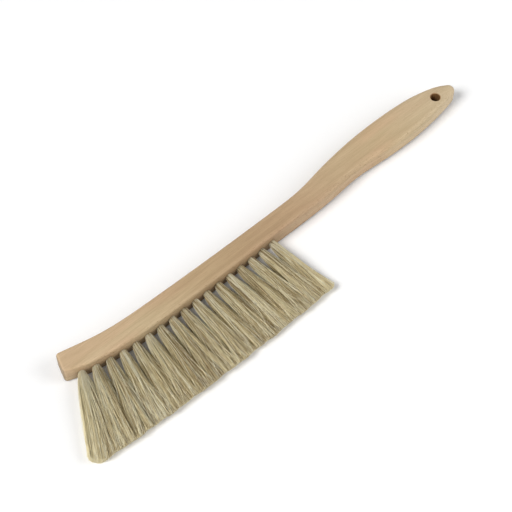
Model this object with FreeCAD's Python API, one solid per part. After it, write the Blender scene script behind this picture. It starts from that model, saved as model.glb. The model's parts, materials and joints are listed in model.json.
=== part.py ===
"""Bee brush: a one-piece beech stock with one row of horsehair tufts.

Units are millimetres. The brush lies on its side: +X runs from the toe to the tip of the
handle, the hair points to -Y and +Z is up, through the thickness of the board. The origin
is the bottom centre of the whole brush's bounding box.
"""
import FreeCAD, Part
import math
import os

from FreeCAD import Placement, Rotation, Vector

# ---- stock -------------------------------------------------------------------------------
BOARD_THICKNESS = 17.0
HEAD_EDGE_RADIUS = 2.2
GRIP_EDGE_RADIUS = 4.0
TOE_CORNER_RADIUS = 2.5
# The neck runs between these two stations. Its edge rounding grows from the head's to the grip's.
NECK_START_X = 205.0
NECK_END_X = 285.0

# The handle ends in an arc, between two directions measured from +X.
TIP_CENTRE = (404.0, -4.3)
TIP_RADIUS = 5.2
TIP_START_ANGLE = 60.0
TIP_END_ANGLE = -74.0
# Back edge, from the toe to the arc.
BACK_EDGE = [(-0.6, 0.2), (35.0, -6.4), (80.0, -8.1), (150.0, -6.8), (205.0, -5.0), (240.0, -2.1),
             (262.0, 2.6), (285.0, 6.8), (315.0, 10.2), (350.0, 11.3), (382.0, 8.8),
             (394.5, 5.9)]
# Grip edge, neck and tufted edge, from the arc back to the toe.
FRONT_EDGE = [(376.0, -15.2), (345.0, -18.2), (312.0, -17.9), (285.0, -17.6), (268.0, -19.5),
              (250.0, -21.2), (205.0, -22.9), (150.0, -25.3), (85.0, -27.3), (40.0, -26.3),
              (12.0, -22.0), (-5.2, -16.2)]

# ---- hanging hole ------------------------------------------------------------------------
HANGING_HOLE_CENTRE = (388.3, -4.4)
HANGING_HOLE_DIAMETER = 8.0
HANGING_HOLE_RIM_RADIUS = 1.1

# ---- tuft row ----------------------------------------------------------------------------
TUFT_COUNT = 17
FIRST_TUFT_X = 7.4
LAST_TUFT_X = 190.8
ROW_HEIGHT = 7.2
TUFT_HOLE_DIAMETER = 6.2
TUFT_HOLE_DEPTH = 12.0
# Lean of a tuft from -Y, positive towards the handle. It changes fastest near the toe.
LEAN_AT_TOE = -18.0
LEAN_AT_HANDLE = 6.0
LEAN_EXPONENT = 1.6
# The tuft at the toe has no neighbour on one side, so it leans and spreads further.
TOE_TUFT_LEAN = -23.5

# ---- hair --------------------------------------------------------------------------------
# The tips are cut along an arc through these points, from the toe side to the handle side.
TRIM_ARC = [(-44.0, -86.6), (70.0, -88.8), (206.0, -83.0)]
HAIR_GAP = 0.05
STRAIGHT_ABOVE_FACE = 1.0
TIP_SECTION_DISTANCE = 76.0
TIP_HALF_WIDTH = 6.3
TOE_TIP_HALF_WIDTH = 11.5
TIP_HALF_HEIGHT = 5.0

# ---- anchors -----------------------------------------------------------------------------
ANCHOR_THICKNESS = 0.4
ANCHOR_WIDTH = 2.0
ANCHOR_BITE = 0.5
ANCHOR_DEPTH = 9.0
ANCHOR_GAP = 0.03


def flat_point(xy):
    return Vector(xy[0], xy[1], 0)


def tip_point(angle):
    turn = math.radians(angle)
    return Vector(TIP_CENTRE[0] + TIP_RADIUS * math.cos(turn), TIP_CENTRE[1] + TIP_RADIUS * math.sin(turn), 0)


def tip_direction(angle):
    """The way the outline runs where it meets the tip arc."""
    turn = math.radians(angle)
    return Vector(math.sin(turn), -math.cos(turn), 0)


def back_curve():
    points = [flat_point(xy) for xy in BACK_EDGE] + [tip_point(TIP_START_ANGLE)]
    toe_direction = (points[1] - points[0]).normalize()
    curve = Part.BSplineCurve()
    curve.interpolate(Points=points, InitialTangent=toe_direction, FinalTangent=tip_direction(TIP_START_ANGLE))
    return curve


def front_curve():
    points = [tip_point(TIP_END_ANGLE)] + [flat_point(xy) for xy in FRONT_EDGE]
    toe_direction = (points[-1] - points[-2]).normalize()
    curve = Part.BSplineCurve()
    curve.interpolate(Points=points, InitialTangent=tip_direction(TIP_END_ANGLE), FinalTangent=toe_direction)
    return curve


def parameter_at(curve, x):
    """The parameter where a curve passes station x. Both edges run steadily along X."""
    low = curve.FirstParameter
    high = curve.LastParameter
    rising = curve.value(high).x > curve.value(low).x
    for _ in range(50):
        middle = 0.5 * (low + high)
        if (curve.value(middle).x < x) == rising:
            low = middle
        else:
            high = middle
    return 0.5 * (low + high)


def pieces_of(curve, stations):
    """The curve as edges, split where it passes the stations."""
    stops = [curve.FirstParameter] + [parameter_at(curve, x) for x in stations] + [curve.LastParameter]
    return [Part.Edge(curve, start, end) for start, end in zip(stops, stops[1:])]


def make_board(back, front):
    """The sawn board, with its two toe corners rounded."""
    arc = Part.Arc(tip_point(TIP_START_ANGLE), tip_point(0.0), tip_point(TIP_END_ANGLE))
    edges = pieces_of(back, [NECK_START_X, NECK_END_X])
    edges.append(arc.toShape())
    edges += pieces_of(front, [NECK_END_X, NECK_START_X])
    edges.append(Part.makeLine(flat_point(FRONT_EDGE[-1]), flat_point(BACK_EDGE[0])))
    board = Part.Face(Part.Wire(edges)).extrude(Vector(0, 0, BOARD_THICKNESS))
    corners = [flat_point(FRONT_EDGE[-1]), flat_point(BACK_EDGE[0])]
    uprights = [edge for edge in board.Edges if stands_on(edge, corners)]
    return board.makeFillet(TOE_CORNER_RADIUS, uprights)


def stands_on(edge, corners):
    foot = edge.CenterOfMass - Vector(0, 0, 0.5 * BOARD_THICKNESS)
    return any(foot.distanceToPoint(corner) < 0.01 for corner in corners)


def edge_radius(x):
    """Rounding of the board's long edges at station x."""
    share = (x - NECK_START_X) / (NECK_END_X - NECK_START_X)
    share = min(1.0, max(0.0, share))
    return HEAD_EDGE_RADIUS + share * (GRIP_EDGE_RADIUS - HEAD_EDGE_RADIUS)


def round_edges(board):
    """Rounds every edge of the two flat faces, more on the grip than on the head."""
    document = FreeCAD.newDocument("stock")
    base = document.addObject("Part::Feature", "board")
    base.Shape = board
    rounding = document.addObject("Part::Fillet", "rounding")
    rounding.Base = base
    radii = []
    for number, edge in enumerate(board.Edges, start=1):
        start = edge.valueAt(edge.FirstParameter)
        end = edge.valueAt(edge.LastParameter)
        if abs(start.z - end.z) < 0.01:
            radii.append((number, edge_radius(start.x), edge_radius(end.x)))
    rounding.Edges = radii
    document.recompute()
    shape = rounding.Shape.copy()
    FreeCAD.closeDocument("stock")
    return shape


def bore_hanging_hole(stock):
    """The through hole near the tip of the handle, with both rims rounded."""
    radius = 0.5 * HANGING_HOLE_DIAMETER
    drilled = stock.cut(Part.makeCylinder(radius, BOARD_THICKNESS, flat_point(HANGING_HOLE_CENTRE)))
    rims = [edge for edge in drilled.Edges if is_circle(edge, radius)]
    return drilled.makeFillet(HANGING_HOLE_RIM_RADIUS, rims)


def is_circle(edge, radius):
    return hasattr(edge.Curve, "Radius") and abs(edge.Curve.Radius - radius) < 0.01


def tuft_placements(front):
    """One frame per tuft, from the toe. Local Z points out of the hole and local Y points up."""
    face = Part.Edge(front, parameter_at(front, LAST_TUFT_X), parameter_at(front, FIRST_TUFT_X))
    points = face.discretize(Number=TUFT_COUNT)
    points.reverse()
    placements = []
    for index, point in enumerate(points):
        remaining = 1.0 - index / (TUFT_COUNT - 1.0)
        lean = LEAN_AT_HANDLE + (LEAN_AT_TOE - LEAN_AT_HANDLE) * remaining ** LEAN_EXPONENT
        if index == 0:
            lean = TOE_TUFT_LEAN
        outward = Vector(math.sin(math.radians(lean)), -math.cos(math.radians(lean)), 0)
        up = Vector(0, 0, 1)
        turn = Rotation(up.cross(outward), up, outward, "ZYX")
        placements.append(Placement(point + up * ROW_HEIGHT, turn))
    return placements


def placed(shape, placement):
    moved = shape.copy()
    moved.Placement = placement.multiply(moved.Placement)
    return moved


def tuft_hole():
    """A blind hole along local Z. It starts outside the face so that it cuts through it."""
    radius = 0.5 * TUFT_HOLE_DIAMETER
    return Part.makeCylinder(radius, TUFT_HOLE_DEPTH + TUFT_HOLE_DIAMETER, Vector(0, 0, -TUFT_HOLE_DEPTH))


def anchor(gap=0.0):
    """A piece of flat wire across the hole, near its bottom. The gap widens it into a pocket."""
    size_x = ANCHOR_THICKNESS + 2 * gap
    size_y = TUFT_HOLE_DIAMETER + 2 * (ANCHOR_BITE + gap)
    size_z = ANCHOR_WIDTH + 2 * gap
    corner = Vector(-0.5 * size_x, -0.5 * size_y, -ANCHOR_DEPTH - 0.5 * size_z)
    return Part.makeBox(size_x, size_y, size_z, corner)


def ring(height, half_width, half_height):
    """A closed section of a tuft at a height on local Z."""
    if half_width == half_height:
        curve = Part.Circle(Vector(0, 0, height), Vector(0, 0, 1), half_width)
    else:
        curve = Part.Ellipse(Vector(0, 0, height), half_width, half_height)
    return Part.Wire(curve.toShape())


def tuft(tip_half_width):
    """A bundle of hair, straight in its hole and spreading outside it, cut out for its anchor."""
    radius = 0.5 * TUFT_HOLE_DIAMETER - HAIR_GAP
    sections = [
        ring(HAIR_GAP - TUFT_HOLE_DEPTH, radius, radius),
        ring(STRAIGHT_ABOVE_FACE, radius, radius),
        ring(TIP_SECTION_DISTANCE, tip_half_width, TIP_HALF_HEIGHT),
    ]
    return Part.makeLoft(sections, True, True).cut(anchor(ANCHOR_GAP))


def trimmed(hair):
    """The hair on the stock's side of the trim arc."""
    start, middle, end = [flat_point(xy) for xy in TRIM_ARC]
    start_corner = Vector(start.x, hair.BoundBox.YMax, 0)
    end_corner = Vector(end.x, hair.BoundBox.YMax, 0)
    edges = [
        Part.Arc(start, middle, end).toShape(),
        Part.makeLine(end, end_corner),
        Part.makeLine(end_corner, start_corner),
        Part.makeLine(start_corner, start),
    ]
    kept = Part.Face(Part.Wire(edges)).extrude(Vector(0, 0, BOARD_THICKNESS))
    return hair.common(kept)


back = back_curve()
front = front_curve()
stock = bore_hanging_hole(round_edges(make_board(back, front)))
placements = tuft_placements(front)

nodes = {}
for number, placement in enumerate(placements, start=1):
    stock = stock.cut([placed(tuft_hole(), placement), placed(anchor(ANCHOR_GAP), placement)])
    half_width = TOE_TIP_HALF_WIDTH if number == 1 else TIP_HALF_WIDTH
    nodes["tuft_%02d" % number] = trimmed(placed(tuft(half_width), placement))
nodes["anchors"] = Part.makeCompound([placed(anchor(), placement) for placement in placements])
nodes["stock"] = stock

whole = Part.makeCompound(list(nodes.values())).optimalBoundingBox()
to_origin = Vector(-whole.Center.x, -whole.Center.y, -whole.ZMin)

os.makedirs("parts", exist_ok=True)
for name, shape in nodes.items():
    shape.translate(to_origin)
    shape.exportStep("parts/%s.step" % name)
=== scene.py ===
"""Bee brush: its looks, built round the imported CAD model. Everything is in metres in the CAD frame.

The brush lies on its side: +X runs from the toe to the tip of the handle, the hair points to -Y
and +Z is up. The beech stock and the wire anchors are the CAD nodes themselves. Each tuft of
horsehair is a mesh of separate thin hairs that stands for its plain CAD tuft.
"""
import json
import math
from collections import namedtuple

import bpy
import numpy as np
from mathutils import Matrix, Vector


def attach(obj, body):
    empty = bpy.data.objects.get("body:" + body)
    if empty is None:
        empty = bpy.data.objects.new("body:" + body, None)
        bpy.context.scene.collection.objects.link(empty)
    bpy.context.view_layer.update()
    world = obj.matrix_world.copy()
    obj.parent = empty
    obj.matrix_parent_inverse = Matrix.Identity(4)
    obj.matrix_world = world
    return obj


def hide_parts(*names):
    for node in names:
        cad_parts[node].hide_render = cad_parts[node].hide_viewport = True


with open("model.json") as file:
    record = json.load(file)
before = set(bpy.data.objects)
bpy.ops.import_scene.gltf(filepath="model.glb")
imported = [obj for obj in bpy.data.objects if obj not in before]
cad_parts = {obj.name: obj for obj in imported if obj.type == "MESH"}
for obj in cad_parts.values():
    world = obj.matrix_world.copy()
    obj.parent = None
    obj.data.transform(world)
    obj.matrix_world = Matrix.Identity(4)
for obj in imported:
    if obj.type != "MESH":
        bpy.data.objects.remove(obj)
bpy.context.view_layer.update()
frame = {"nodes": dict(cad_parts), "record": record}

MM = 0.001
MM_PER_METRE = 1000.0

# ---- camera and studio --------------------------------------------------------------------
CAMERA_AZIMUTH = -40.3
CAMERA_ELEVATION = 56.0
CAMERA_DISTANCE = 1.10
CAMERA_TARGET = (-0.0113, 0.0177, 0.0)
FRAME_WIDTH_AT_TARGET = 0.4045
SENSOR_WIDTH = 36.0

FLOOR_HALF_SIZE = 2.5
# The studio's white walls glow up to the first of these heights, in degrees above the floor, so that
# low views have a white background. They dim up to the second.
WALL_GLOWS_TO = 10.0
WALL_DIM_FROM = 22.0
WALL_STRENGTH = 1.0
DIM_STRENGTH = 0.18

# ---- wood -------------------------------------------------------------------------------
HANGING_HOLE = next(mount for mount in frame["record"]["mounts"] if mount["name"] == "hanging_hole")
HANGING_HOLE_RADIUS = HANGING_HOLE["dims"]["r_mm"] * MM
# The painted shade on the wall of the hanging hole ends between these two distances outside its radius.
BORE_EDGE_FROM = 0.1 * MM
BORE_EDGE_TO = 0.9 * MM

GRAIN_TURN = -3.5
# Scales of the wood's patterns along X, Y and Z, in features per mm.
ZONE_SCALE = (0.011, 0.045, 0.045)
STREAK_SCALE = (0.011, 0.23, 0.18)
FINE_GRAIN_SCALE = (0.05, 1.7, 1.7)
FLECK_SCALE = (0.42, 3.0, 3.0)
ZONE_COLOURS = [(0.36, (0.600, 0.458, 0.280)), (0.50, (0.590, 0.440, 0.268)),
                (0.64, (0.603, 0.425, 0.262))]
# The middle of the stock is darker and pinker than its ends. Tones along X, as shares of this stretch.
HEART_FROM = -125.0 * MM
HEART_TO = 200.0 * MM
HEART_TONES = [(0.0, (0.98, 1.01, 1.01)), (0.20, (0.84, 0.79, 0.75)), (0.42, (0.80, 0.735, 0.705)),
               (0.56, (0.89, 0.84, 0.835)), (0.80, (0.95, 0.965, 0.94)), (1.0, (0.99, 1.03, 1.08))]
STREAK_TONES = [(0.36, (0.88, 0.86, 0.83)), (0.62, (1.05, 1.05, 1.06))]
STREAK_AMOUNT = 0.7
FINE_GRAIN_TONES = [(0.32, (0.88, 0.86, 0.83)), (0.62, (1.04, 1.04, 1.04))]
FINE_GRAIN_AMOUNT = 0.8
# Most of a noise lies between these two values.
USUAL_NOISE = (0.3, 0.7)
# Painted shade: ambient occlusion darkens the wood where other surfaces lie within this reach, such as
# between and under the tufts.
PAINTED_SHADE_REACH = 7.0 * MM
PAINTED_SHADE_TONES = [(0.22, (0.28, 0.21, 0.14)), (0.82, (1.0, 1.0, 1.0))]
# How squarely a face looks along X where end grain begins to show, and where it shows in full.
END_GRAIN_FACING = (0.6, 0.95)
# The end faces' tint: partly the wood's own darker end grain, partly painted shade.
END_GRAIN_AND_SHADE_TINT = (0.52, 0.52, 0.51, 1.0)
# How squarely a face looks along Y where the flecks begin to gain strength, and where they have it all.
FLECK_FACING = (0.15, 0.6)
FLECKS_ON_TOP = 0.35
FLECK_NOISE = (0.62, 0.72)
FLECK_TINT = (0.62, 0.52, 0.42, 1.0)
# Painted shade: the wall of the hanging hole is darkened.
PAINTED_BORE_SHADE_TINT = (0.52, 0.34, 0.20, 1.0)
# Roughness where the fine grain is low and where it is high.
BEECH_ROUGHNESS = (0.64, 0.52)
BEECH_BUMP = 0.12 * MM
FINE_GRAIN_IN_BUMP = 0.6
FLECKS_IN_BUMP = -0.5

# ---- wire -------------------------------------------------------------------------------
WIRE_LINE_SCALE = (9.0, 9.0, 0.3)
WIRE_COLOURS = [(0.3, (0.40, 0.40, 0.41)), (0.7, (0.58, 0.57, 0.56))]
WIRE_ROUGHNESS = (0.28, 0.45)
WIRE_BUMP = 0.02 * MM

# ---- hair: its colours --------------------------------------------------------------------
# A hair's tone runs from 0, dark, to 1, pale.
HAIR_COLOURS = [(0.0, (0.29, 0.205, 0.098)), (0.3, (0.60, 0.480, 0.258)),
                (0.7, (0.85, 0.752, 0.475)), (1.0, (0.92, 0.870, 0.665))]
# Painted shade: the roots are darkened as if shaded by the stock, easing to a little above the plain tone at
# the tips. Tones along each hair, from its root to its tip.
PAINTED_ROOT_SHADE_ALONG_HAIR = [(0.0, (0.70, 0.695, 0.71)), (0.13, (0.77, 0.765, 0.765)), (0.24, (0.82, 0.815, 0.785)),
                    (0.39, (0.89, 0.88, 0.845)), (0.6, (0.95, 0.94, 0.905)), (1.0, (1.05, 1.05, 1.04))]
HAIR_PATCH_SCALE = (0.20, 0.05, 0.25)
HAIR_PATCH_TONES = [(0.3, (0.90, 0.88, 0.84)), (0.7, (1.06, 1.06, 1.06))]
HAIR_PATCH_AMOUNT = 0.6
TONE_MIDDLE = 0.59
LOCK_TONE_SPREAD = 0.10
STREAK_TONE_SPREAD = 0.26
HAIR_TONE_SPREAD = 0.34
DARK_SHARE = 0.20
DARK_TONE = -0.42
STRAY_TONE = 0.25
# The first tufts are paler, less and less up to this many.
TOE_LIFT = 0.24
LIFTED_TUFTS = 5
# Painted light: on the open side of an end tuft the hairs are painted paler, as if light shone through them.
PAINTED_SHINE_TONE = 0.80
PAINTED_SHINE_SHARE = 0.8
PALE_EDGE = 0.6

# ---- hair: one tuft as it leaves its hole ---------------------------------------------------
HAIR_SEED = 17
TUFT_NAMES = sorted(name for name in frame["nodes"] if name.startswith("tuft_"))
HOLE_DEPTH = 12.0 * MM
RING_ABOVE_FACE = 1.0 * MM
END_SLICE = 1.0 * MM
SLICE_TOLERANCES = (1.5 * MM, 1.5 * MM, 0.5 * MM, 0.2 * MM)
HAIRS_PER_TUFT = 1100
FREE_WIDTH_OF_A_TUFT = 12.0 * MM
LOCKS_PER_TUFT = 60
STREAKS_PER_TUFT = 240
BUNDLE_RADIUS = 2.95 * MM
# Below 0.5 the hairs crowd towards the outside of the bundle.
BUNDLE_CROWDING = 0.45
START_BELOW_FACE = 10.5 * MM
STATIONS = np.array([0.0, 0.06, 0.14, 0.25, 0.38, 0.52, 0.66, 0.82, 1.0])
HAIR_SIDES = 3
HAIR_RADIUS_AT_ROOT = 0.16 * MM
HAIR_RADIUS_AT_TIP = 0.12 * MM
TAPER_POWER = 1.5
RADIUS_VARIATION = 0.25

# ---- hair: how a tuft spreads ---------------------------------------------------------------
MOUTH_SPREAD = 0.15
MOUTH_SPREAD_RATE = 0.03
SPREAD_ACROSS = 0.75
SPREAD_UP = -0.5
SPREAD_POWER = 1.8
# How strongly a lock pulls its hairs together, and how much looser it is below and on an open side.
LOCK_GRIP = (0.3, 0.9)
LOOSE_BELOW = 0.8
LOOSE_BELOW_EDGE = 0.1
LOOSE_SIDE = 0.7
# The lower hairs splay at once, into the gaps beside the tuft.
LOW_SPLAY = 4.6 * MM
LOW_SPLAY_RATE = 0.26
LOW_SPLAY_EDGE = 0.3
HELD_IN_RATE = 2
FILL_SHARE = 0.75
TOE_SIDE_SPREAD = 6.2 * MM
HANDLE_SIDE_SPREAD = -3.4 * MM
DROOP = 3.4 * MM

# ---- hair: how single hairs bend, with leans in degrees ---------------------------------------
LOCK_LEAN = 2.2
HAIR_LEAN = 1.0
LEAN_POWER = 1.7
UP_SHARE_OF_LEAN = 0.5
STRAY_LEAN = 5.0
STRAY_SHARE = 0.035
BOW = 0.5 * MM
WAVE_HEIGHTS_IN_MM = (0.10, 0.60)
WAVE_PACES = (1.2, 2.6)
WAVE_GROWTH = 0.7

# ---- hair: the cut ------------------------------------------------------------------------
SHORT_SHARE = 0.16
SHORT_LENGTHS = (0.72, 0.98)
TRIM_JITTER = 0.3 * MM
UNDERCUT = 0.35
TOP_OF_TIPS = 5.0 * MM
PAST_CAD_TIPS = 0.8 * MM
# The waves that scissors leave: height in mm, length per radian, and phase.
CUT_WAVES = [(0.35, 5.3 * MM, 1.1), (0.25, 2.3 * MM, 0.4)]
TOE_REACH = 11.0 * MM
TOE_CORNER = 15.0 * MM
HANDLE_REACH = 9.0 * MM
HANDLE_CORNER = 7.0 * MM
CORNER_SLACK = 0.5 * MM
SHORTEST_KEPT = 0.5
KEPT_STEPS = 101
TRIM_PASSES = 4
LOWEST_HAIR = 0.3 * MM
FLOOR_EASE = 1.0 * MM

# What is beside one tuft. toe and handle are how much further it fans out to that side, where no tuft
# holds it in. pale is -1 or 1 on the open toe or handle side of an end tuft, where painted light makes the
# hairs paler, or 0.
Sides = namedtuple("Sides", "toe handle pale")


def direction(azimuth, elevation):
    """The way from the object to a viewer or light. Azimuth 0 is from -Y, elevation is above the floor."""
    turn = math.radians(azimuth)
    rise = math.radians(elevation)
    return Vector((math.sin(turn) * math.cos(rise), -math.cos(turn) * math.cos(rise), math.sin(rise)))


def link(thing):
    bpy.context.scene.collection.objects.link(thing)
    return thing


def make_camera():
    data = bpy.data.cameras.new("camera")
    data.sensor_width = SENSOR_WIDTH
    data.lens = SENSOR_WIDTH * CAMERA_DISTANCE / FRAME_WIDTH_AT_TARGET
    data.clip_start = 0.01
    camera = link(bpy.data.objects.new("camera", data))
    back = direction(CAMERA_AZIMUTH, CAMERA_ELEVATION)
    camera.location = Vector(CAMERA_TARGET) + back * CAMERA_DISTANCE
    camera.rotation_mode = "QUATERNION"
    camera.rotation_quaternion = (-back).to_track_quat("-Z", "Y")
    bpy.context.scene.camera = camera


def area_light(name, azimuth, elevation, distance, size, power):
    data = bpy.data.lights.new(name, "AREA")
    data.shape = "DISK"
    data.size = size
    data.energy = power
    lamp = link(bpy.data.objects.new(name, data))
    back = direction(azimuth, elevation)
    lamp.location = back * distance
    lamp.rotation_mode = "QUATERNION"
    lamp.rotation_quaternion = (-back).to_track_quat("-Z", "Y")


def make_walls():
    """The white studio round the floor: it glows behind the floor's edge and is dim above."""
    world = bpy.data.worlds.new("studio")
    bpy.context.scene.world = world
    world.use_nodes = True
    background = world.node_tree.nodes["Background"]
    background.inputs["Color"].default_value = (1.0, 1.0, 1.0, 1.0)
    nodes = Nodes(world.node_tree)
    height = nodes.axes(nodes.add("ShaderNodeTexCoord").outputs["Generated"])["Z"]
    glow = nodes.map(height, math.sin(math.radians(WALL_GLOWS_TO)), math.sin(math.radians(WALL_DIM_FROM)),
                     WALL_STRENGTH, DIM_STRENGTH)
    world.node_tree.links.new(glow, background.inputs["Strength"])


def make_light():
    area_light("key", azimuth=-97.0, elevation=46.0, distance=6.0, size=3.1, power=300.0)
    area_light("fill", azimuth=48.0, elevation=34.0, distance=3.0, size=2.2, power=38.0)
    make_walls()


def new_material(name):
    material = bpy.data.materials.new(name)
    material.use_nodes = True
    return material, material.node_tree, material.node_tree.nodes["Principled BSDF"]


def make_floor():
    half = FLOOR_HALF_SIZE
    corners = [(-half, -half, 0), (half, -half, 0), (half, half, 0), (-half, half, 0)]
    mesh = bpy.data.meshes.new("floor")
    mesh.from_pydata(corners, [], [(0, 1, 2, 3)])
    floor = link(bpy.data.objects.new("floor", mesh))
    material, _, shader = new_material("floor_white")
    shader.inputs["Base Color"].default_value = (0.97, 0.97, 0.97, 1.0)
    shader.inputs["Roughness"].default_value = 0.9
    shader.inputs["Specular IOR Level"].default_value = 0.0
    shader.inputs["Emission Color"].default_value = (1.0, 1.0, 1.0, 1.0)
    shader.inputs["Emission Strength"].default_value = 0.05
    mesh.materials.append(material)


class Nodes:
    """A short way to write a node tree."""

    def __init__(self, tree):
        self.tree = tree

    def add(self, kind, inputs=None, **settings):
        node = self.tree.nodes.new(kind)
        for key, value in settings.items():
            setattr(node, key, value)
        for key, value in (inputs or {}).items():
            self.feed(node.inputs[key], value)
        return node

    def feed(self, socket, value):
        if isinstance(value, bpy.types.NodeSocket):
            self.tree.links.new(value, socket)
        else:
            socket.default_value = value

    def place(self):
        """Where the point is, in the object's own metres."""
        return self.add("ShaderNodeTexCoord").outputs["Object"]

    def axes(self, vector):
        return self.add("ShaderNodeSeparateXYZ", {"Vector": vector}).outputs

    def stretched(self, scale, offset=(0.0, 0.0, 0.0), turn=0.0):
        """Object coordinates in millimetres times a scale, which stretches what follows along the grain."""
        turned = self.add("ShaderNodeVectorRotate", {"Vector": self.place(), "Angle": math.radians(turn)})
        mapping = self.add("ShaderNodeMapping", {"Vector": turned.outputs["Vector"]})
        mapping.inputs["Scale"].default_value = [MM_PER_METRE * s for s in scale]
        mapping.inputs["Location"].default_value = offset
        return mapping.outputs["Vector"]

    def noise(self, vector, scale=1.0, detail=2.0, roughness=0.5, distortion=0.0):
        node = self.add("ShaderNodeTexNoise", {"Vector": vector, "Scale": scale, "Detail": detail,
                                               "Roughness": roughness, "Distortion": distortion})
        return node.outputs["Fac"]

    def ramp(self, value, stops):
        node = self.add("ShaderNodeValToRGB", {"Fac": value})
        elements = node.color_ramp.elements
        while len(elements) < len(stops):
            elements.new(0.5)
        for element, (place, colour) in zip(elements, stops):
            element.position = place
            element.color = (*colour, 1.0)
        return node.outputs["Color"]

    def mix(self, factor, a, b, mode="MIX"):
        node = self.add("ShaderNodeMix", data_type="RGBA", blend_type=mode)
        self.feed(node.inputs["Factor"], factor)
        self.feed(node.inputs["A"], a)
        self.feed(node.inputs["B"], b)
        return node.outputs["Result"]

    def tinted(self, base, tint):
        return self.mix(1.0, base, tint, "MULTIPLY")

    def shaded(self, base, value, tones, amount=1.0):
        """The base multiplied by a tone that runs through these stops with the value."""
        return self.mix(amount, base, self.ramp(value, tones), "MULTIPLY")

    def calculate(self, operation, a, b=0.0):
        node = self.add("ShaderNodeMath", operation=operation)
        self.feed(node.inputs[0], a)
        self.feed(node.inputs[1], b)
        return node.outputs[0]

    def map(self, value, low, high, to_low=0.0, to_high=1.0):
        node = self.add("ShaderNodeMapRange", {"Value": value, "From Min": low, "From Max": high,
                                               "To Min": to_low, "To Max": to_high})
        return node.outputs["Result"]

    def bump(self, height, distance, strength=1.0):
        node = self.add("ShaderNodeBump", {"Height": height, "Distance": distance, "Strength": strength})
        return node.outputs["Normal"]


def zones_and_heart(nodes):
    """Broad yellow and pink zones along the stock, and its darker middle."""
    zones = nodes.noise(nodes.stretched(ZONE_SCALE, offset=(2.0, 0.0, 0.0)))
    along = nodes.map(nodes.axes(nodes.place())["X"], HEART_FROM, HEART_TO)
    return nodes.shaded(nodes.ramp(zones, ZONE_COLOURS), along, HEART_TONES)


def long_grain(nodes, base, fine):
    """Long streaks, a few degrees off the stock's length, and the fine grain between them."""
    streaks = nodes.noise(nodes.stretched(STREAK_SCALE, offset=(3.0, 1.0, 7.0), turn=GRAIN_TURN),
                          detail=3.0, roughness=0.6, distortion=0.5)
    base = nodes.shaded(base, streaks, STREAK_TONES, STREAK_AMOUNT)
    return nodes.shaded(base, fine, FINE_GRAIN_TONES, FINE_GRAIN_AMOUNT)


def ray_flecks(nodes, facing):
    """Where the short dark flecks are: strongest on the sides of the board."""
    sideways = nodes.map(nodes.calculate("ABSOLUTE", facing["Y"]), *FLECK_FACING, to_low=FLECKS_ON_TOP)
    noise = nodes.noise(nodes.stretched(FLECK_SCALE, offset=(11.0, 5.0, 2.0)), detail=1.0)
    return nodes.calculate("MULTIPLY", nodes.map(noise, *FLECK_NOISE), sideways)


def inside_hanging_hole(nodes):
    """1 on the wall of the hanging hole and 0 elsewhere."""
    x, y, _ = HANGING_HOLE["pos_m"]
    flat = nodes.add("ShaderNodeVectorMath", {0: nodes.place(), 1: (1.0, 1.0, 0.0)}, operation="MULTIPLY")
    away = nodes.add("ShaderNodeVectorMath", {0: flat.outputs["Vector"], 1: (x, y, 0.0)},
                     operation="DISTANCE")
    wall = HANGING_HOLE_RADIUS
    return nodes.map(away.outputs["Value"], wall + BORE_EDGE_FROM, wall + BORE_EDGE_TO,
                     to_low=1.0, to_high=0.0)


def make_beech():
    """Planed and sanded beech: grain along X, zones, ray flecks, end grain darkened partly as its own colour
    and partly as painted shade, and painted shade in crevices and in the hanging hole.
    """
    material, tree, shader = new_material("beech")
    nodes = Nodes(tree)
    fine = nodes.noise(nodes.stretched(FINE_GRAIN_SCALE), detail=3.0, roughness=0.65)
    base = long_grain(nodes, zones_and_heart(nodes), fine)

    facing = nodes.axes(nodes.add("ShaderNodeNewGeometry").outputs["Normal"])
    # The end faces are darkened: partly the wood's own end grain, partly painted shade.
    end_grain_and_shade = nodes.map(nodes.calculate("ABSOLUTE", facing["X"]), *END_GRAIN_FACING)
    base = nodes.mix(end_grain_and_shade, base, nodes.tinted(base, END_GRAIN_AND_SHADE_TINT))
    flecks = ray_flecks(nodes, facing)
    base = nodes.mix(flecks, base, nodes.tinted(base, FLECK_TINT))

    # Painted shade: the wall of the hanging hole is darkened, without the ambient occlusion.
    bore_shade = nodes.tinted(base, PAINTED_BORE_SHADE_TINT)
    # Painted shade: the wood is darker where ambient occlusion finds other surfaces near, such as between the
    # tufts.
    painted_shade = nodes.add("ShaderNodeAmbientOcclusion", {"Distance": PAINTED_SHADE_REACH}, samples=8).outputs["AO"]
    base = nodes.shaded(base, painted_shade, PAINTED_SHADE_TONES)
    base = nodes.mix(inside_hanging_hole(nodes), base, bore_shade)
    tree.links.new(base, shader.inputs["Base Color"])

    tree.links.new(nodes.map(fine, *USUAL_NOISE, *BEECH_ROUGHNESS), shader.inputs["Roughness"])
    shader.inputs["Specular IOR Level"].default_value = 0.35
    height = nodes.calculate("ADD", nodes.calculate("MULTIPLY", fine, FINE_GRAIN_IN_BUMP),
                             nodes.calculate("MULTIPLY", flecks, FLECKS_IN_BUMP))
    tree.links.new(nodes.bump(height, BEECH_BUMP, strength=0.6), shader.inputs["Normal"])
    return material


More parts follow.
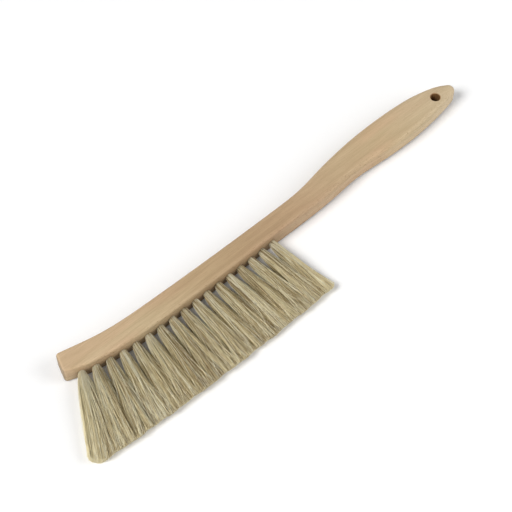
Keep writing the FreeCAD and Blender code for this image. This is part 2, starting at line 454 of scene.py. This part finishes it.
def make_horsehair():
    """Pale horsehair: each hair and clump has its own tone, and painted shade makes the roots darker than the
    tips.
    """
    material, tree, shader = new_material("horsehair")
    nodes = Nodes(tree)
    tone = nodes.add("ShaderNodeAttribute", attribute_name="tone").outputs["Fac"]
    along = nodes.add("ShaderNodeAttribute", attribute_name="along").outputs["Fac"]
    # Painted shade: the hairs are darker towards their roots.
    base = nodes.shaded(nodes.ramp(tone, HAIR_COLOURS), along, PAINTED_ROOT_SHADE_ALONG_HAIR)
    patches = nodes.noise(nodes.stretched(HAIR_PATCH_SCALE))
    base = nodes.shaded(base, patches, HAIR_PATCH_TONES, HAIR_PATCH_AMOUNT)
    tree.links.new(base, shader.inputs["Base Color"])
    shader.inputs["Roughness"].default_value = 0.48
    shader.inputs["Specular IOR Level"].default_value = 0.4
    return material


def make_steel():
    """Drawn steel wire: lines along it and a slightly uneven finish."""
    material, tree, shader = new_material("anchor_wire")
    nodes = Nodes(tree)
    drawn = nodes.noise(nodes.stretched(WIRE_LINE_SCALE))
    tree.links.new(nodes.ramp(drawn, WIRE_COLOURS), shader.inputs["Base Color"])
    tree.links.new(nodes.map(drawn, *USUAL_NOISE, *WIRE_ROUGHNESS), shader.inputs["Roughness"])
    tree.links.new(nodes.bump(drawn, WIRE_BUMP, strength=0.5), shader.inputs["Normal"])
    shader.inputs["Metallic"].default_value = 1.0
    return material


def vertices_of(node):
    mesh = frame["nodes"][node].data
    flat = np.zeros(len(mesh.vertices) * 3)
    mesh.vertices.foreach_get("co", flat)
    return flat.reshape(-1, 3)


def middle(points):
    return 0.5 * (points.min(axis=0) + points.max(axis=0))


class Seat:
    """One tuft's hole and tips, read from its CAD node: where its mouth is and which way the hair leaves."""

    def __init__(self, node):
        points = vertices_of(node)
        y = points[:, 1]
        tips = middle(points[y < y.min() + END_SLICE])
        way = tips - middle(points[y > y.max() - END_SLICE])
        # The slices are square to the way found so far, so later passes can take thinner ones.
        for tolerance in SLICE_TOLERANCES:
            way /= np.linalg.norm(way)
            along = points @ way
            from_bottom = along - along.min()
            bottom = middle(points[from_bottom < tolerance])
            beside_ring = np.abs(from_bottom - HOLE_DEPTH - RING_ABOVE_FACE) < tolerance
            way = middle(points[beside_ring]) - bottom
        self.out = way / np.linalg.norm(way)
        self.up = np.array([0.0, 0.0, 1.0])
        self.across = np.cross(self.up, self.out)
        self.mouth = bottom + self.out * HOLE_DEPTH
        self.tips = tips
        self.length = np.linalg.norm(tips - self.mouth)


class Trim:
    """The line that the hair is cut to: along the middles of the CAD tips, with round corners at its ends."""

    def __init__(self, seats):
        tips = np.array([seat.tips for seat in seats])
        self.curve = np.polyfit(tips[:, 0], tips[:, 1], 2)
        self.toe = tips[0, 0] - TOE_REACH
        self.handle = tips[-1, 0] + HANDLE_REACH

    def line(self, x):
        """The cut without its round corners, a little uneven as scissors leave it."""
        wave = sum(height * np.sin(x / length + phase) for height, length, phase in CUT_WAVES)
        return np.polyval(self.curve, x) - PAST_CAD_TIPS + wave * MM

    def inside_corners(self, x, y):
        toe_lift = self.lift(self.toe + TOE_CORNER - x, TOE_CORNER)
        handle_lift = self.lift(x - self.handle + HANDLE_CORNER, HANDLE_CORNER)
        between = (x > self.toe) & (x < self.handle)
        return between & (y >= self.line(x) + toe_lift + handle_lift - CORNER_SLACK)

    @staticmethod
    def lift(inside, radius):
        """How far a round corner lifts the line, this far past the corner's start."""
        inside = np.clip(inside, 0.0, radius)
        return radius - np.sqrt(radius ** 2 - inside ** 2)

    def kept_share(self, mouth, tips):
        """The share of each hair's length that the round corners leave."""
        shares = np.linspace(SHORTEST_KEPT, 1.0, KEPT_STEPS)
        points = mouth + (tips - mouth)[:, None, :] * shares[None, :, None]
        inside = self.inside_corners(points[:, :, 0], points[:, :, 1])
        return (inside * shares).max(axis=1)


def nearest(points, centres):
    """For each point, the index of the centre nearest to it."""
    return np.argmin(((points[:, None, :] - centres[None, :, :]) ** 2).sum(axis=2), axis=1)


class Bundle:
    """One tuft's hairs, each with its place across the hole, its own lean, waves and length, and its tone.

    lift is how much paler than usual the whole tuft is."""

    def __init__(self, sides, lift, random):
        count = round(HAIRS_PER_TUFT * (1 + max(sides.toe + sides.handle, 0.0) / FREE_WIDTH_OF_A_TUFT))
        reach = BUNDLE_RADIUS * random.random(count) ** BUNDLE_CROWDING
        turn = random.random(count) * 2 * math.pi
        root = np.stack([reach * np.cos(turn), reach * np.sin(turn)], axis=1)

        locks = root[random.choice(count, LOCKS_PER_TUFT, replace=False)]
        lock = nearest(root, locks)
        lock_lean = random.normal(0.0, math.radians(LOCK_LEAN), (LOCKS_PER_TUFT, 2))
        lock_tone = random.normal(TONE_MIDDLE, LOCK_TONE_SPREAD, LOCKS_PER_TUFT)
        lock_grip = random.uniform(*LOCK_GRIP, LOCKS_PER_TUFT)

        lean = lock_lean[lock] + random.normal(0.0, math.radians(HAIR_LEAN), (count, 2))
        stray = random.random(count) < STRAY_SHARE * (1 - abs(sides.pale))
        lean += stray[:, None] * random.normal(0.0, math.radians(STRAY_LEAN), (count, 2))
        lean[:, 1] *= UP_SHARE_OF_LEAN
        short = random.random(count) < SHORT_SHARE
        self.share = np.where(short, random.uniform(*SHORT_LENGTHS, count), 1.0)
        self.jitter = random.normal(0.0, TRIM_JITTER, count)
        self.bow = random.normal(0.0, BOW, (count, 2))
        self.wave = random.uniform(*WAVE_HEIGHTS_IN_MM, (count, 2)) * MM
        self.phase = random.uniform(0.0, 2 * math.pi, (count, 2))
        self.pace = random.uniform(*WAVE_PACES, (count, 2))

        streak = nearest(root, root[random.choice(count, STREAKS_PER_TUFT, replace=False)])
        streak_tone = random.normal(0.0, STREAK_TONE_SPREAD, STREAKS_PER_TUFT)
        tone = lift + lock_tone[lock] + streak_tone[streak] + random.normal(0.0, HAIR_TONE_SPREAD, count)
        tone += np.where(random.random(count) < DARK_SHARE, DARK_TONE, 0.0) + stray * STRAY_TONE
        # Painted light: on the open side of an end tuft the hairs are painted paler, as if light shone
        # through them.
        pale = abs(sides.pale) * np.clip(PALE_EDGE + sides.pale * root[:, 0] / BUNDLE_RADIUS, 0.0, 1.0)
        tone += (PAINTED_SHINE_TONE - tone) * PAINTED_SHINE_SHARE * pale

        low = np.clip(LOOSE_BELOW_EDGE - root[:, 1] / BUNDLE_RADIUS, 0.0, 1.0)
        grip = (lock_grip[lock] * (1 - stray) * (1 - LOOSE_BELOW * low) * (1 - LOOSE_SIDE * pale))[:, None]
        self.held = root * (1 - grip) + locks[lock] * grip
        self.root = root
        self.lean = lean
        self.tone = np.clip(tone, 0.0, 1.0)

    def fan(self, sides):
        """How far each hair has spread from the middle of the tuft at each station, across it and up."""
        s = STATIONS[None, :, None]
        spread = np.array([SPREAD_ACROSS, SPREAD_UP])
        fan = (self.root[:, None, :] * (1 + MOUTH_SPREAD * (1 - np.exp(-s / MOUTH_SPREAD_RATE)))
               + self.held[:, None, :] * spread * s ** SPREAD_POWER
               + (self.held - self.root)[:, None, :] * s)
        from_middle = self.root[:, 0] / BUNDLE_RADIUS
        aside = np.where(from_middle < 0, sides.toe, sides.handle) * from_middle
        fan[:, :, 0] += aside[:, None] * (1 - (1 - STATIONS) ** 2)[None, :]
        lowness = np.clip(LOW_SPLAY_EDGE - self.root[:, 1] / BUNDLE_RADIUS, 0.0, 1.0)
        held_in = 1 - np.clip(HELD_IN_RATE * sides.pale * from_middle, 0.0, 1.0)
        splay = LOW_SPLAY * lowness * from_middle * held_in
        fan[:, :, 0] += splay[:, None] * (1 - np.exp(-STATIONS / LOW_SPLAY_RATE))[None, :]
        return fan

    def ripple(self):
        """Each hair's own bow and waves at each station, across the tuft and up."""
        s = STATIONS[None, :, None]
        swing = np.sin(self.phase[:, None, :] + self.pace[:, None, :] * 2 * math.pi * s)
        return (self.bow[:, None, :] * np.sin(math.pi * s)
                + self.wave[:, None, :] * swing * s ** WAVE_GROWTH)


def hair_lines(seat, trim, bundle, sides):
    """Middle lines of one tuft's hairs, as hair x station x axis, from inside the hole to the cut."""
    s = STATIONS[None, :, None]
    fan = bundle.fan(sides)
    ripple = bundle.ripple()
    sag = -DROOP * STATIONS[None, :] ** 2
    length = np.full(len(bundle.root), seat.length)
    for _ in range(TRIM_PASSES):
        bend = np.tan(bundle.lean)[:, None, :] * length[:, None, None] * s ** LEAN_POWER
        offset = fan + bend + ripple
        lines = (seat.mouth + (length[:, None] * STATIONS)[:, :, None] * seat.out
                 + offset[:, :, 0:1] * seat.across
                 + (offset[:, :, 1] + sag)[:, :, None] * seat.up)
        tip = lines[:, -1, :]
        wanted = trim.line(tip[:, 0]) + UNDERCUT * (TOP_OF_TIPS - tip[:, 2])
        length *= (seat.mouth[1] - wanted) / (seat.mouth[1] - tip[:, 1])
    kept = trim.kept_share(seat.mouth, lines[:, -1, :]) + bundle.jitter / seat.length
    lines = seat.mouth + (lines - seat.mouth) * (bundle.share * kept)[:, None, None]
    start = (seat.mouth - START_BELOW_FACE * seat.out
             + bundle.root[:, 0:1] * seat.across + bundle.root[:, 1:2] * seat.up)
    lines = np.concatenate([start[:, None, :], lines], axis=1)
    lines[:, :, 2] = LOWEST_HAIR + softly_positive(lines[:, :, 2] - LOWEST_HAIR, FLOOR_EASE)
    return lines


def softly_positive(value, reach):
    """The value itself where it is well above zero, easing to zero where it is below."""
    return 0.5 * (value + np.sqrt(value ** 2 + reach ** 2))


def tube_points(lines, radii):
    """The points of thin tubes round the lines, as hair x station x side x axis."""
    tangent = np.gradient(lines, axis=1)
    tangent /= np.linalg.norm(tangent, axis=2, keepdims=True)
    first = np.cross(tangent, np.array([0.0, 0.0, 1.0]))
    first /= np.linalg.norm(first, axis=2, keepdims=True)
    second = np.cross(tangent, first)
    points = np.empty((*radii.shape, HAIR_SIDES, 3))
    for side in range(HAIR_SIDES):
        angle = 2 * math.pi * side / HAIR_SIDES
        outward = math.cos(angle) * first + math.sin(angle) * second
        points[:, :, side, :] = lines + radii[:, :, None] * outward
    return points


def tube_mesh(name, lines, radii, values):
    """Closed thin tubes round the lines. values holds one number per hair and station for each attribute."""
    points = tube_points(lines, radii)
    index = np.arange(points.size // 3).reshape(points.shape[:3])
    here = index[:, :-1, :]
    there = index[:, 1:, :]
    corners = [here, np.roll(here, -1, axis=2), np.roll(there, -1, axis=2), there]
    quads = np.stack(corners, axis=3).reshape(-1, 4)
    ends = np.concatenate([index[:, 0, ::-1], index[:, -1, :]])
    loops = np.concatenate([quads.ravel(), ends.ravel()])
    starts = np.concatenate([np.arange(len(quads)) * 4, len(quads) * 4 + np.arange(len(ends)) * HAIR_SIDES])

    mesh = bpy.data.meshes.new(name)
    mesh.vertices.add(index.size)
    mesh.vertices.foreach_set("co", points.ravel())
    mesh.loops.add(len(loops))
    mesh.loops.foreach_set("vertex_index", loops)
    mesh.polygons.add(len(starts))
    mesh.polygons.foreach_set("loop_start", starts)
    mesh.polygons.foreach_set("use_smooth", np.ones(len(starts), dtype=bool))
    mesh.update(calc_edges=True)
    for key, value in values.items():
        layer = mesh.attributes.new(key, "FLOAT", "POINT")
        full = np.broadcast_to(value[:, :, None], index.shape)
        layer.data.foreach_set("value", full.ravel().copy())
    return mesh


def make_tuft(node, lines, tone, material, random):
    """One tuft of hair, which stands for its CAD node."""
    stations = np.concatenate([[0.0], STATIONS])
    taper = HAIR_RADIUS_AT_ROOT + (HAIR_RADIUS_AT_TIP - HAIR_RADIUS_AT_ROOT) * stations ** TAPER_POWER
    thickness = random.uniform(1 - RADIUS_VARIATION, 1 + RADIUS_VARIATION, len(lines))
    radii = taper[None, :] * thickness[:, None]
    values = {"tone": np.broadcast_to(tone[:, None], radii.shape),
              "along": np.broadcast_to(stations[None, :], radii.shape)}
    name = node.replace("tuft", "hair")
    hair = link(bpy.data.objects.new(name, tube_mesh(name, lines, radii, values)))
    hair.data.materials.append(material)
    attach(hair, "root")
    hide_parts(node)


def sides_of_tufts(seats):
    """Each tuft's Sides. Where the tips are further apart than usual, both neighbours fan into the gap."""
    gaps = np.diff([seat.tips[0] for seat in seats])
    extra = FILL_SHARE * (gaps - np.median(gaps))
    toe = [TOE_SIDE_SPREAD, *extra]
    handle = [*extra, HANDLE_SIDE_SPREAD]
    pale = [-1] + [0] * (len(seats) - 2) + [1]
    return [Sides(*beside) for beside in zip(toe, handle, pale)]


def make_hair(material):
    random = np.random.default_rng(HAIR_SEED)
    seats = [Seat(node) for node in TUFT_NAMES]
    trim = Trim(seats)
    for index, (node, seat, sides) in enumerate(zip(TUFT_NAMES, seats, sides_of_tufts(seats))):
        lift = TOE_LIFT * max(1 - index / LIFTED_TUFTS, 0.0)
        bundle = Bundle(sides, lift, random)
        make_tuft(node, hair_lines(seat, trim, bundle, sides), bundle.tone, material, random)


def dress(node, material):
    piece = frame["nodes"][node]
    piece.data.materials.clear()
    piece.data.materials.append(material)


make_camera()
make_floor()
make_light()
bpy.context.scene.view_settings.view_transform = "Standard"

dress("stock", make_beech())
dress("anchors", make_steel())
make_hair(make_horsehair())
